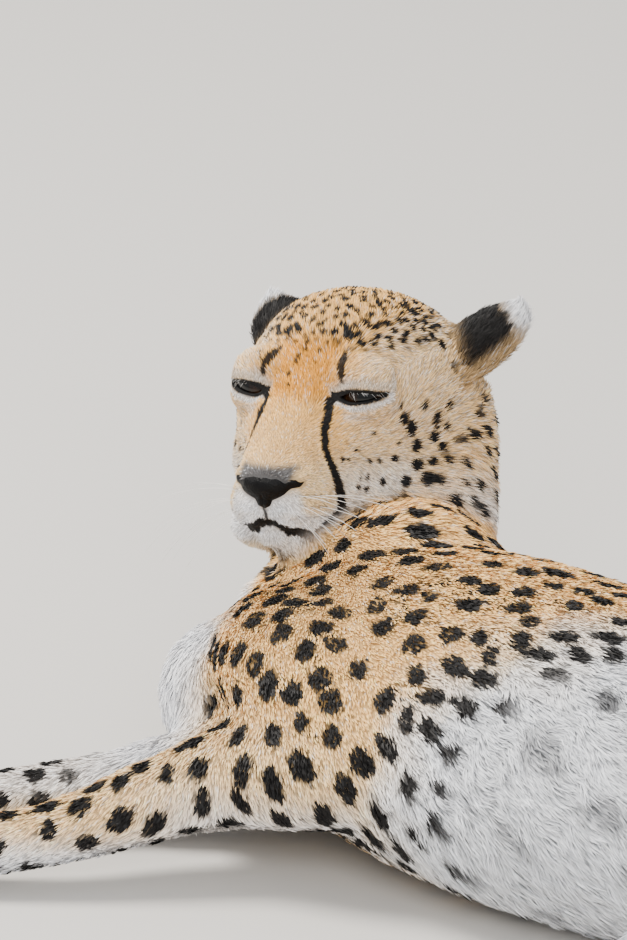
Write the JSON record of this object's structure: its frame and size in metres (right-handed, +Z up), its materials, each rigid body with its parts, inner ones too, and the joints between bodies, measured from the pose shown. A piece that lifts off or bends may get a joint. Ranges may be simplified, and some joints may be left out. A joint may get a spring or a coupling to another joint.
{
  "type": "cheetah",
  "caption": "Life-size cheetah lying on its right side, head raised and turned, legs stretched out to its belly side, tail curved on the ground; a still model.",
  "frame": {"origin": "on the floor under the middle of the bounding box", "axes": "+X runs forward along the trunk, +Y to the side that the belly and legs point to, +Z up"},
  "size_m": [1.359, 0.815, 0.2633],
  "materials": {
    "coat": "short spotted fur",
    "nose_leather": "damp bare skin",
    "eye": "wet and glossy"
  },
  "bodies": {
    "root": {"trunk": "coat", "neck": "coat", "head": "coat", "ear_left": "coat", "ear_right": "coat", "eye_left": "eye", "eye_right": "eye", "nose": "nose_leather", "upper_arm_left": "coat", "forearm_left": "coat", "forearm_right": "coat", "forepaw_left": "coat", "forepaw_right": "coat", "thigh_left": "coat", "shank_left": "coat", "shank_right": "coat", "hindpaw_left": "coat", "hindpaw_right": "coat", "tail": "coat", "tail_tip": "coat"}
  },
  "joints": []
}
